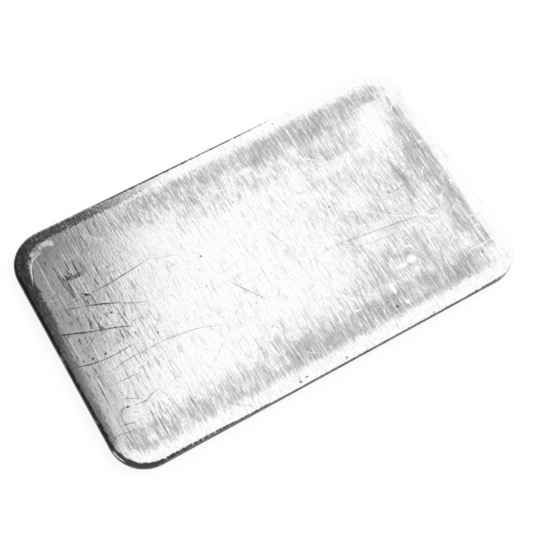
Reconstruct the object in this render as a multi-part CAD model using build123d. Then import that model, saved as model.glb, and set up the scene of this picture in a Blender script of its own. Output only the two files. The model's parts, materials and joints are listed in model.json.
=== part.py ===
"""A small struck bar of white metal, made as one solid piece.

Its plan is a rectangle with rounded corners. Both broad faces have a flat land in the middle. Outside the
land each face falls away very slightly, then rolls over a soft shoulder into the short upright wall of the
edge. The bar lies flat: the origin is the middle of its underside, X runs along its length and Z is up.
"""

import os

from build123d import *

# Driving dimensions, in millimetres.
BAR_LENGTH = 50.0
BAR_WIDTH = 29.8
BAR_THICKNESS = 2.10
CORNER_RADIUS = 4.1
SHOULDER_REACH = 1.7  # how far in from the side wall each face starts to roll over
SHOULDER_DROP = 0.75  # how far the roll-over falls before it meets the side wall
SHOULDER_FULLNESS = 0.70  # a plain number: nearer 0 the roll-over is a chamfer, higher it keeps to its corner
CROWN_DROP = 0.05  # how far each face falls between the flat land and the roll-over

# The rim is as deep as the corners are round, so the flat land is the plan less one corner radius all round.
RIM_DEPTH = CORNER_RADIUS
LAND_LENGTH = BAR_LENGTH - 2 * RIM_DEPTH
LAND_WIDTH = BAR_WIDTH - 2 * RIM_DEPTH


def face_line(side: int) -> Curve:
    """One face seen across the rim, from its land out to the side wall: side is 1 on top and -1 below."""
    land_edge = Vector(0, side * BAR_THICKNESS / 2)
    roll_start = land_edge + Vector(RIM_DEPTH - SHOULDER_REACH, -side * CROWN_DROP)
    wall_end = roll_start + Vector(SHOULDER_REACH, -side * SHOULDER_DROP)
    crown = TangentArc(land_edge, roll_start, tangent=(1, 0))

    # The roll-over leaves along the crown's own slope and ends upright, so it has no crease at either end.
    slope = crown % 1
    knee = roll_start + slope * (SHOULDER_REACH / slope.X)
    shoulder = Bezier(roll_start, knee, wall_end, weights=[1, SHOULDER_FULLNESS, 1])
    return Curve() + [crown, shoulder]


def rim_section() -> Face:
    """The rim cut across: X is the distance out from the land and Y the height above mid-thickness."""
    upper = face_line(1)
    lower = face_line(-1)
    side_wall = Line(lower @ 1, upper @ 1)
    land_side = Line(lower @ 0, upper @ 0)
    return make_face([land_side, upper, side_wall, lower])


def rim_run(section: Face, length: float, distance: float, turn: float) -> Part:
    """A straight run of the rim, set out at a distance from the bar's middle and turned about it."""
    run = extrude(Plane.XZ * section, amount=length)
    return Rot(Z=turn) * Pos(distance, length / 2) * run


def rim_corner(section: Face, turn: float) -> Part:
    """A rounded corner of the rim: the same section swung a quarter turn about its land's own corner."""
    return Rot(Z=turn) * revolve(Plane.XZ * section, axis=Axis.Z, revolution_arc=90)


def ingot_bar() -> Part:
    """The whole bar: its core under the two lands, with the rim running right round it."""
    section = rim_section()
    bar = Box(LAND_LENGTH, LAND_WIDTH, BAR_THICKNESS)
    for turn in (0, 180):
        bar += rim_run(section, LAND_WIDTH, LAND_LENGTH / 2, turn)
    for turn in (90, 270):
        bar += rim_run(section, LAND_LENGTH, LAND_WIDTH / 2, turn)
    for x_side, y_side, turn in ((1, 1, 0), (-1, 1, 90), (-1, -1, 180), (1, -1, 270)):
        bar += Pos(x_side * LAND_LENGTH / 2, y_side * LAND_WIDTH / 2) * rim_corner(section, turn)
    return Pos(Z=BAR_THICKNESS / 2) * bar


os.makedirs("parts", exist_ok=True)
export_step(ingot_bar(), "parts/ingot_bar.step")
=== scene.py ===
"""A struck silver bar of one troy ounce: its worn surface, its finish and the pale table that it lies on.

The bar lies flat. X runs along its length, Y across its width and Z up, from the middle of its underside.
Names that end in _mm hold millimetres, plan places are in millimetres from the bar's middle, and Blender's
own objects are in metres.
"""

from __future__ import annotations

import json
import logging
import math
from collections.abc import Iterator, Sequence
from dataclasses import dataclass, field
from enum import Enum
from typing import NamedTuple

import bpy
import numpy as np
from mathutils import Matrix, Vector
from mathutils.geometry import delaunay_2d_cdt

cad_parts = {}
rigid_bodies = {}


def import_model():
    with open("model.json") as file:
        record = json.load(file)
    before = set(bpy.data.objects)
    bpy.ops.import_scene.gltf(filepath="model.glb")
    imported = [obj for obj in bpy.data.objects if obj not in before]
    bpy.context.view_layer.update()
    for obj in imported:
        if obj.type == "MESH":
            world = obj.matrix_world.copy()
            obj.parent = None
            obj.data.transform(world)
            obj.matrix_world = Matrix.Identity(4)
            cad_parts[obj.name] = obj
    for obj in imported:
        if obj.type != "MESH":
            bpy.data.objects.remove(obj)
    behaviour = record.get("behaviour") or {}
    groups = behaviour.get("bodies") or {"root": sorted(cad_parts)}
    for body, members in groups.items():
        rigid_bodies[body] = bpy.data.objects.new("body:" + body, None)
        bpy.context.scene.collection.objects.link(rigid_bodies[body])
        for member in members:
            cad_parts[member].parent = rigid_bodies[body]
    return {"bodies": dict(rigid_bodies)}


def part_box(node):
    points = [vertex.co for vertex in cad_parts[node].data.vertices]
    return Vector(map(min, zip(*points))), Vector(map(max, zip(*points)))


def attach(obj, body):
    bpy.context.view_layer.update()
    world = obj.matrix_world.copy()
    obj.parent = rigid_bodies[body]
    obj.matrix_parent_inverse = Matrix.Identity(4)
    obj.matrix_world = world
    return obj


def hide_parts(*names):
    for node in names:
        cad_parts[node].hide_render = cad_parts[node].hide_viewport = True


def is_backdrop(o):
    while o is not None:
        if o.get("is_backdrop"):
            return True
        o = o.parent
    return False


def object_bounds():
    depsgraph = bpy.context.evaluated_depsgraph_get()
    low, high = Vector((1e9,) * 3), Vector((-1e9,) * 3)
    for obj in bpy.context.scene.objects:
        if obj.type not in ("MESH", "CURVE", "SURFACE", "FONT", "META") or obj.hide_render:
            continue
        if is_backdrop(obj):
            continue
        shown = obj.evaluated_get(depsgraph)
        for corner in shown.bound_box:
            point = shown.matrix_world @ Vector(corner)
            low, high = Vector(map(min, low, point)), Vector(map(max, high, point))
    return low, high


MM = 0.001
Plan = np.ndarray
log = logging.getLogger("silver_bar")


class Face(Enum):
    """The two broad faces of the bar, with the way that each one looks along Z."""

    TOP = 1
    UNDERSIDE = -1


class Side(Enum):
    """The four sides of the bar, with the way that each one faces."""

    LEFT = (-1, 0)
    RIGHT = (1, 0)
    NEAR = (0, -1)
    FAR = (0, 1)


class Layer(str, Enum):
    """Values that the mesh carries at its vertices for the finishes to read."""

    # Dull tone, partly tarnish and partly painted reflection shade.
    DULLING = "dulling"
    SCUFFING = "scuffing"
    SCORE = "score"
    # Bright rubs and scratches, and the painted highlight where the wall meets the shoulder at the near-left
    # corner.
    BURNISH = "burnish_and_highlight"
    # Dirt and painted shade on the side wall and the outer shoulder.
    SOIL = "soil"
    # Stain that is painted dark reflection, mostly on the left rim, and how dark it is.
    STAIN = "stain"
    STAIN_DEPTH = "stain_depth"


def unit(ways: np.ndarray) -> np.ndarray:
    """Directions of length one, and zero where a row has no length."""
    return ways / np.maximum(np.linalg.norm(ways, axis=1, keepdims=True), 1e-9)


def smooth_step(value: np.ndarray) -> np.ndarray:
    """Eases values from 0 to 1, holding them at either end."""
    held = np.clip(value, 0, 1)
    return held * held * (3 - 2 * held)


# Shape of the bar


@dataclass
class BarShape:
    """The bar's plan and the section of its rim, in millimetres.

    Length, width and thickness come from the frame. The rest are the driving sizes of the rim.
    """

    length: float
    width: float
    thickness: float
    corner_radius: float = 4.1
    shoulder_reach: float = 1.7
    shoulder_drop: float = 0.75
    shoulder_fullness: float = 0.70
    crown_drop: float = 0.05

    @classmethod
    def from_node(cls, node: str) -> BarShape:
        """Reads the overall sizes from a node of the frame.

        Args:
            node: The node's name.

        Returns:
            The shape of that bar.
        """
        low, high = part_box(node)
        length, width, thickness = ((high[axis] - low[axis]) / MM for axis in range(3))
        return cls(length, width, thickness)

    @property
    def land_half(self) -> np.ndarray:
        """Half the flat land's length and width."""
        return np.array([self.length, self.width]) / 2 - self.corner_radius

    @property
    def wall_top(self) -> float:
        """Height at which the upper shoulder meets the side wall."""
        return self.thickness - self.crown_drop - self.shoulder_drop

    @property
    def wall_foot(self) -> float:
        """Height at which the lower shoulder meets the side wall."""
        return self.crown_drop + self.shoulder_drop

    def on_land(self, plan: Plan) -> Plan:
        """The places on the flat land that are nearest to plan points."""
        return np.clip(plan, -self.land_half, self.land_half)

    def inset(self, plan: Plan) -> np.ndarray:
        """How far plan points lie inside the side wall, at most the corner radius on the land."""
        return self.corner_radius - np.linalg.norm(plan - self.on_land(plan), axis=1)

    def outward(self, plan: Plan) -> np.ndarray:
        """The direction out of the bar at plan points on the rim, and zero on the land."""
        return unit(plan - self.on_land(plan))

    def fall(self, inset: np.ndarray) -> np.ndarray:
        """How far a face lies below its land.

        Args:
            inset: Distances inside the side wall.

        Returns:
            The fall at each distance: none on the land, slight on the crown, steep on the shoulder.
        """
        crown_reach = self.corner_radius - self.shoulder_reach
        out = np.clip((self.corner_radius - inset) / crown_reach, 0, 1)
        slope = 2 * self.crown_drop / crown_reach
        # The shoulder is a conic section. Its parameter t follows from how far out the point is.
        along = np.clip(1 - inset / self.shoulder_reach, 0, 1)
        weight = self.shoulder_fullness
        a = along * (2 - 2 * weight) - 1 + 2 * weight
        b = along * (2 * weight - 2) - 2 * weight
        root = np.sqrt(np.maximum(b * b - 4 * a * along, 0))
        t = 2 * along / (root - b)
        middle = 2 * weight * t * (1 - t)
        share = (1 - t) ** 2 + middle + t * t
        roll = (middle * slope * self.shoulder_reach + t * t * self.shoulder_drop) / share
        return self.crown_drop * out**2 + np.where(along > 0, roll, 0)

    def profile_length(self, inset: np.ndarray) -> np.ndarray:
        """Length of the rim's section from the land outwards.

        Args:
            inset: Distances inside the side wall, out to which it is measured.

        Returns:
            The length to each distance.
        """
        count = 80
        steps = self.shoulder_reach * (1 - np.sin(np.linspace(0, math.pi / 2, count)))
        steps = np.concatenate([[self.corner_radius], steps])
        run = np.hypot(np.diff(steps), np.diff(self.fall(steps)))
        total = np.concatenate([[0], np.cumsum(run)])
        return np.interp(inset, steps[::-1], total[::-1])

    def ring(self, inset: float, spacing: float) -> Plan:
        """Points round the rim at one distance inside the side wall.

        Args:
            inset: That distance.
            spacing: About how far apart the points are.

        Returns:
            The points in order, counter-clockwise.
        """
        radius = self.corner_radius - inset
        half = self.land_half
        quarter_turn = math.pi / 2
        turns = max(2, round(radius * quarter_turn / spacing))
        runs = []
        for quarter, sides in enumerate(((1, 1), (-1, 1), (-1, -1), (1, -1))):
            centre = half * sides
            angle = np.linspace(0, 1, turns, endpoint=False) * quarter_turn + quarter * quarter_turn
            runs.append(centre + radius * np.stack([np.cos(angle), np.sin(angle)], axis=1))
            end_angle = (quarter + 1) * quarter_turn
            out = np.array([math.cos(end_angle), math.sin(end_angle)])
            way = np.array([-math.sin(end_angle), math.cos(end_angle)])
            span = 2 * half[quarter % 2]
            along = np.linspace(0, span, max(2, round(span / spacing)), endpoint=False)
            runs.append(centre + radius * out + way * along[:, None])
        return np.concatenate(runs)


# Marks that handling and brushing left, with the painted shade, dark reflection and highlight among them


class Ripple:
    """A smooth random field over the plan, made of seeded waves."""

    def __init__(self, seed: int, shortest: float, longest: float, count: int = 24) -> None:
        """Draws the waves.

        Args:
            seed: Seed of the random draws.
            shortest: Shortest wavelength, in millimetres.
            longest: Longest wavelength, in millimetres.
            count: How many waves are summed.
        """
        draw = np.random.default_rng(seed)
        length = np.exp(draw.uniform(math.log(shortest), math.log(longest), count))
        angle = draw.uniform(0, math.tau, count)
        self.waves = np.stack([np.cos(angle), np.sin(angle)], axis=1) * (math.tau / length)[:, None]
        self.phase = draw.uniform(0, math.tau, count)
        self.share = np.sqrt(length) / np.linalg.norm(np.sqrt(length)) * math.sqrt(2)

    def at(self, plan: Plan) -> np.ndarray:
        """The field's value at plan points, with a spread of about one round zero."""
        return np.sin(plan @ self.waves.T + self.phase) @ self.share


@dataclass(frozen=True)
class Score:
    """A scratch or brush stroke: a shallow groove along a line drawn in plan.

    Attributes:
        points: Places that the line passes through.
        half_width: Half the groove's width.
        depth: Depth of the groove's bottom.
        darkness: How dark it shows, from 0 to 1. Below 0 it shows bright.
        bluntness: How it narrows at its ends, from 0, not at all, to 1, evenly from its middle.
    """

    points: Sequence[Sequence[float]]
    half_width: float = 0.075
    depth: float = 0.003
    darkness: float = 0.5
    bluntness: float = 0.4

    def line(self, step: float) -> Plan:
        """The line as closely spaced points, rounded where it bends.

        Args:
            step: The most that neighbouring points are apart.

        Returns:
            The points in order.
        """
        knots = np.array(self.points, float)
        run = np.concatenate([[0], np.cumsum(np.linalg.norm(np.diff(knots, axis=0), axis=1))])
        count = max(2, math.ceil(run[-1] / step) + 1)
        at = np.linspace(0, run[-1], count)
        straight = np.stack([np.interp(at, run, knots[:, axis]) for axis in range(2)], axis=1)
        if len(knots) > 2:
            # Passes of a three-point average round the bends.
            for _ in range(max(2, count // 6)):
                straight[1:-1] = (straight[:-2] + 2 * straight[1:-1] + straight[2:]) / 4
        return straight

    def guides(self, step: float) -> Iterator[tuple[Plan, bool]]:
        """Lines for the mesh to follow along the groove, from lip to lip.

        Args:
            step: The most that a line's neighbouring points are apart.

        Yields:
            Each line, and that it isn't closed.
        """
        line = self.line(step)
        way = np.gradient(line, axis=0)
        across = unit(np.stack([-way[:, 1], way[:, 0]], axis=1))
        taper = np.sin(np.linspace(0.05, 0.95, len(line)) * math.pi)[:, None] ** self.bluntness
        is_broad = self.half_width > 0.2
        for side in (-1, -0.6, 0, 0.6, 1) if is_broad else (-1, 0, 1):
            yield line + across * (side * self.half_width) * taper, False

    def press(self, plan: Plan) -> tuple[np.ndarray, np.ndarray, np.ndarray]:
        """Works the groove into points.

        Args:
            plan: Points near the groove.

        Returns:
            The indices that it touches, the depth there, and how fully it marks them.
        """
        fine_step = 0.25
        line = self.line(fine_step)
        low, high = line.min(axis=0) - self.half_width, line.max(axis=0) + self.half_width
        near = np.flatnonzero(((plan >= low) & (plan <= high)).all(axis=1))
        starts, ways = line[:-1], np.diff(line, axis=0)
        reach = (ways**2).sum(axis=1)
        rel = plan[near][:, None, :] - starts[None]
        along = np.clip((rel * ways).sum(axis=2) / reach, 0, 1)
        gap = np.linalg.norm(rel - along[..., None] * ways, axis=2)
        best = gap.argmin(axis=1)
        rows = np.arange(len(near))
        share = (best + along[rows, best]) / len(starts)
        taper = np.sin(np.clip(share, 0.02, 0.98) * math.pi) ** self.bluntness
        fill = np.clip(1 - gap[rows, best] / (self.half_width * taper), 0, 1)
        return near, self.depth * fill * taper, smooth_step(fill * 2.5) * taper


@dataclass(frozen=True)
class Pit:
    """A small round hollow, or with other radii a soft dent or a bright rub.

    Attributes:
        x: Place along the bar.
        y: Place across the bar.
        radius: Radius along X.
        stretch: How many times longer it is along Y.
        depth: Depth at its middle.
        darkness: How dark it shows, from 0 to 1. Below 0 it shows bright, and below -1 nearly to its rim.
    """

    x: float
    y: float
    radius: float = 0.14
    stretch: float = 1.0
    depth: float = 0.02
    darkness: float = 0.8

    def guides(self, step: float) -> Iterator[tuple[Plan, bool]]:
        """Rings for the mesh to follow, from the middle out.

        Args:
            step: About how far a ring's neighbouring points are apart.

        Yields:
            Each ring, and that it is closed.
        """
        fewest, most = 6, 40
        for share in (0.04, 0.5, 0.8, 1.0):
            around = math.tau * self.radius * share * max(1.0, self.stretch)
            count = min(max(fewest, round(around / step)), most)
            angle = np.arange(count) * math.tau / count
            ring = np.stack([np.cos(angle), np.sin(angle) * self.stretch], axis=1)
            yield np.array([self.x, self.y]) + ring * self.radius * share, True

    def press(self, plan: Plan) -> tuple[np.ndarray, np.ndarray, np.ndarray]:
        """Works the hollow into points.

        Args:
            plan: Points near the hollow.

        Returns:
            The indices that it touches, the depth there, and how fully it marks them.
        """
        rel = (plan - (self.x, self.y)) / (self.radius, self.radius * self.stretch)
        gap = np.linalg.norm(rel, axis=1)
        near = np.flatnonzero(gap < 1)
        fill = (1 - gap[near] ** 2) ** 2
        return near, self.depth * fill, np.sqrt(fill)


Mark = Score | Pit
Tones = tuple[float, float, float]


@dataclass(frozen=True)
class Patch:
    """A soft-edged area where a face is duller, or brighter, than round it.

    Attributes:
        x: Middle along the bar.
        y: Middle across the bar.
        half_x: Half its length along X.
        half_y: Half its length along Y.
        amount: How much duller it is. Below 0 it is brighter.
        soft: Share of its size over which it fades.
    """

    x: float
    y: float
    half_x: float
    half_y: float
    amount: float
    soft: float = 0.5

    def at(self, plan: Plan) -> np.ndarray:
        """The patch's part of the dull tone, which is partly painted shade.

        Args:
            plan: Plan points.

        Returns:
            The dull tone, partly painted shade, at each point.
        """
        rel = np.abs(plan - (self.x, self.y)) / (self.half_x, self.half_y)
        gap = (rel**3).sum(axis=1) ** (1 / 3)
        return self.amount * smooth_step((1 - gap) / self.soft)


@dataclass(frozen=True)
class DullShadeBand:
    """A dull band along one side, from near the shoulder's upper limit in to the land, partly tarnish and
    partly painted reflection shade.

    Attributes:
        side: The side that it follows.
        amount: How dull it is.
        start: Where it starts along the side.
        end: Where it ends along the side.
        reach: Distance from the side at which it has half faded out.
        fade: Distance over which it fades out, inwards.
        outer: Distance inside the side wall at which it has half faded in.
        outer_fade: Distance over which it fades in.
        end_fade: Distance over which its ends fade.
    """

    side: Side
    amount: float
    start: float
    end: float
    reach: float = 5.6
    fade: float = 3.0
    outer: float = 1.8
    outer_fade: float = 1.5
    end_fade: float = 3.0

    def at(self, plan: Plan, shape: BarShape) -> np.ndarray:
        """The band's part of the dull tone and painted shade at plan points.

        Args:
            plan: The points.
            shape: The bar's shape.

        Returns:
            The dull tone and painted shade at each point.
        """
        facing = np.array(self.side.value)
        half = abs(facing[0]) * shape.length / 2 + abs(facing[1]) * shape.width / 2
        from_side = half - plan @ facing
        along = plan @ np.abs(facing[::-1])
        fades_in = smooth_step((shape.inset(plan) - self.outer) / self.outer_fade + 0.5)
        fades_out = 1 - smooth_step((from_side - self.reach) / self.fade + 0.5)
        starts = smooth_step((along - self.start) / self.end_fade)
        ends = smooth_step((self.end - along) / self.end_fade)
        return self.amount * fades_in * fades_out * starts * ends


class Station(NamedTuple):
    """A place round the rim, with its dirt and painted shade, and its stain, which is painted dark
    reflection.

    Attributes:
        x: Place along the bar.
        y: Place across the bar.
        dirt_reach: How far in from the side wall the dirt and painted shade reach.
        dirt: How strong the dirt and painted shade are, from 0 to 1.
        stain_reach: How far in the stain, which is painted dark reflection, reaches.
        stain: How dark the stain's painted dark reflection is, from 0 to 1.
    """

    x: float
    y: float
    dirt_reach: float
    dirt: float
    stain_reach: float = 0.3
    stain: float = 0.0


@dataclass(frozen=True)
class SoilAndShade:
    """Dirt and painted shade on the side wall and the outer shoulder, and the wider stain inside it, which
    is painted dark reflection.

    Attributes:
        stations: Places round the rim, between which the dirt and painted shade and the stain change evenly.
        wall: How strong the dirt and painted shade are on the side wall itself, at the least.
        fade: Distance over which the dirt and painted shade fade, as a share of their reach.
        stain_fade: Distance over which the limit of the stain's painted dark reflection may wander.
    """

    stations: tuple[Station, ...]
    wall: float = 0.86
    fade: float = 0.6
    stain_fade: float = 1.2

    def at(self, plan: Plan, shape: BarShape) -> dict[Layer, np.ndarray]:
        """The dirt and painted shade and the stain, which is painted dark reflection, at plan points, which
        are none on the land.

        Args:
            plan: The points.
            shape: The bar's shape.

        Returns:
            How strong the dirt and painted shade are, how far inside the stain's limit the points are, and
            how dark the stain's painted dark reflection is.
        """
        places = np.array(self.stations)
        turn = np.arctan2(plan[:, 1] / shape.width, plan[:, 0] / shape.length)
        at_turn = np.arctan2(places[:, 1] / shape.width, places[:, 0] / shape.length)
        order = np.argsort(at_turn)
        columns = (np.interp(turn, at_turn[order], places[order, k], period=math.tau) for k in range(2, 6))
        dirt_reach, dirt, stain_reach, stain = columns
        inset = shape.inset(plan)
        return {
            Layer.SOIL: dirt * smooth_step((dirt_reach - inset) / (self.fade * dirt_reach) + 0.5),
            Layer.STAIN: np.clip((stain_reach - inset) / self.stain_fade + 0.5, 0, 1),
            Layer.STAIN_DEPTH: stain,
        }


@dataclass
class FaceWear:
    """Everything that wear and brushing did to one broad face, with the painted shade, dark reflection and
    highlight on it.

    Attributes:
        shape: The bar's shape.
        marks: Scratches, pits, dents and rubs in fixed places.
        bands: The dull strips along the sides, partly tarnish and partly painted reflection shade.
        patches: Duller and brighter areas, partly painted reflection shade.
        scuffs: Areas with more dark nicks and strokes, over the few that are everywhere.
        soiling: The dirt and painted shade round the edge, with the stain of painted dark reflection.
        seed: Seed of the random strokes and hairlines.
        strokes: How many deeper brush strokes are drawn.
        hairlines: How many fine scratches are drawn, in any direction.
        specks: How many small pits are drawn.
        margin: How far inside the side wall the drawn marks stay.
        rubbed_from: Place along the bar from which on most strokes show bright.
        stroke_tones: Darkness of the strokes, on the rubbed part and left of it.
        hairline_tones: Darkness of the hairlines, on the rubbed part and left of it.
        limits: Least and most of the dull tone and painted shade.
        drawn: The fixed and the drawn marks together.
    """

    shape: BarShape
    marks: Sequence[Mark]
    bands: Sequence[DullShadeBand]
    patches: Sequence[Patch]
    scuffs: Sequence[Patch]
    soiling: SoilAndShade
    seed: int
    strokes: int = 640
    hairlines: int = 110
    specks: int = 60
    margin: float = 1.2
    rubbed_from: float = -13.0
    stroke_tones: tuple[Tones, Tones] = ((0.22, -0.6, -0.9), (0.15, 0.3, -0.3))
    hairline_tones: tuple[Tones, Tones] = ((0.2, -0.7, -0.9), (0.15, 0.25, -0.3))
    limits: tuple[float, float] = (-0.6, 1.2)
    drawn: list[Mark] = field(default_factory=list)

    def __post_init__(self) -> None:
        """Draws the random marks after the fixed ones."""
        draw = np.random.default_rng(self.seed)
        half = np.array([self.shape.length, self.shape.width]) / 2 - self.margin
        self.drawn = list(self.marks)
        self.drawn += [self.stroke(draw, half) for _ in range(self.strokes)]
        self.drawn += [self.hairline(draw, half) for _ in range(self.hairlines)]
        self.drawn += [self.speck(draw, half) for _ in range(self.specks)]

    def stroke(self, draw: np.random.Generator, half: np.ndarray) -> Score:
        """Draws a brush stroke, nearly along Y.

        Args:
            draw: The random draws.
            half: Half the length and the width that it stays within.

        Returns:
            The stroke.
        """
        middle = draw.uniform(-half, half)
        length = draw.uniform(0.8, 5.5)
        lean = draw.normal(0, 0.035)
        half_way = np.array([math.sin(lean), math.cos(lean)]) * length / 2
        ends = np.clip([middle - half_way, middle + half_way], -half, half)
        darkness = draw.choice(self.stroke_tones[0 if middle[0] > self.rubbed_from else 1])
        return Score(ends.tolist(), draw.uniform(0.035, 0.07), draw.uniform(0.0004, 0.001), darkness)

    def hairline(self, draw: np.random.Generator, half: np.ndarray) -> Score:
        """Draws a fine scratch, in any direction.

        Args:
            draw: The random draws.
            half: Half the length and the width that it stays within.

        Returns:
            The scratch.
        """
        middle = draw.uniform(-half + 1, half - 1)
        angle = draw.uniform(0, math.pi)
        length = draw.exponential(2.2) + 0.8
        bend = draw.normal(0, 0.12) * length
        way = np.array([math.cos(angle), math.sin(angle)])
        side = np.array([-way[1], way[0]])
        knots = [middle - way * length / 2, middle + side * bend, middle + way * length / 2]
        darkness = draw.choice(self.hairline_tones[0 if middle[0] > self.rubbed_from else 1])
        return Score(np.clip(knots, -half, half).tolist(), 0.055, 0.0006, darkness)

    def speck(self, draw: np.random.Generator, half: np.ndarray) -> Pit:
        """Draws a small pit.

        Args:
            draw: The random draws.
            half: Half the length and the width that it stays within.

        Returns:
            The pit.
        """
        x, y = draw.uniform(-half, half)
        radius = draw.uniform(0.05, 0.1)
        return Pit(x, y, radius, 1.0, radius * 0.12, draw.uniform(0.2, 0.6))

    def press(self, plan: Plan) -> tuple[np.ndarray, np.ndarray, np.ndarray]:
        """Works every mark into a face.

        Args:
            plan: Points of the face.

        Returns:
            How deep each point is pressed, how dark its marks are and how bright they are.
        """
        depth, dark, bright = np.zeros((3, len(plan)))
        for mark in self.drawn:
            near, pressed, fill = mark.press(plan)
            depth[near] = np.maximum(depth[near], pressed)
            layer = dark if mark.darkness > 0 else bright
            layer[near] = np.maximum(layer[near], fill * abs(mark.darkness))
        return depth, dark, bright

    def dulling(self, plan: Plan) -> np.ndarray:
        """How dull the face is at plan points, partly tarnish and partly painted reflection shade, before
        the brushing frays the edges of the dull areas.
        """
        banded = np.max([band.at(plan, self.shape) for band in self.bands], axis=0)
        return np.clip(sum((patch.at(plan) for patch in self.patches), banded), *self.limits)

    def scuffing(self, plan: Plan) -> np.ndarray:
        """How dark the small nicks and strokes are at plan points."""
        few = np.full(len(plan), 0.15)
        return np.clip(sum((patch.at(plan) for patch in self.scuffs), few), 0, 1)


# The bar's mesh


@dataclass(frozen=True)
class Chafing:
    """Fine wear of the bar's edge: how far handling took in the side wall and the shoulders by it.

    Attributes:
        depth: Depth that the shares are taken of.
        level: Share that it is worn in on the whole.
        swing: Share by which each ripple wears it more or less.
        most: The most that it is worn in, as a share.
        reach: How far the wear reaches in over the shoulders.
        seed: Seed of the coarse ripple. The fine one has the next.
        coarse: Shortest and longest wave of the coarse ripple.
        fine: Shortest and longest wave of the fine ripple, and how many it has.
        slant: How far the fine ripple shifts along X and Y for each step up the wall.
    """

    depth: float = 0.006
    level: float = 1.1
    swing: float = 0.45
    most: float = 2.6
    reach: float = 0.5
    seed: int = 31
    coarse: tuple[float, float] = (0.9, 4.0)
    fine: tuple[float, float, int] = (0.28, 0.9, 40)
    slant: tuple[float, float] = (2.3, 1.7)

    def at(self, plan: Plan, height: np.ndarray) -> np.ndarray:
        """How far the edge is worn in.

        Args:
            plan: Points on and near the side wall.
            height: Their heights.

        Returns:
            The depth of the wear at each point.
        """
        coarse = Ripple(self.seed, *self.coarse).at(plan)
        fine = Ripple(self.seed + 1, *self.fine).at(plan + height[:, None] * self.slant)
        return self.depth * np.clip(self.level + self.swing * coarse + self.swing * fine, 0, self.most)


@dataclass
class Shell:
    """One broad face's part of the mesh.

    Attributes:
        places: Its points.
        triangles: Its triangles, each with the numbers of three points.
        values: What the points carry for the finishes.
        rim: Numbers of the outermost row's points, in order.
    """

    places: np.ndarray
    triangles: np.ndarray
    values: dict[Layer, np.ndarray]
    rim: np.ndarray


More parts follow.
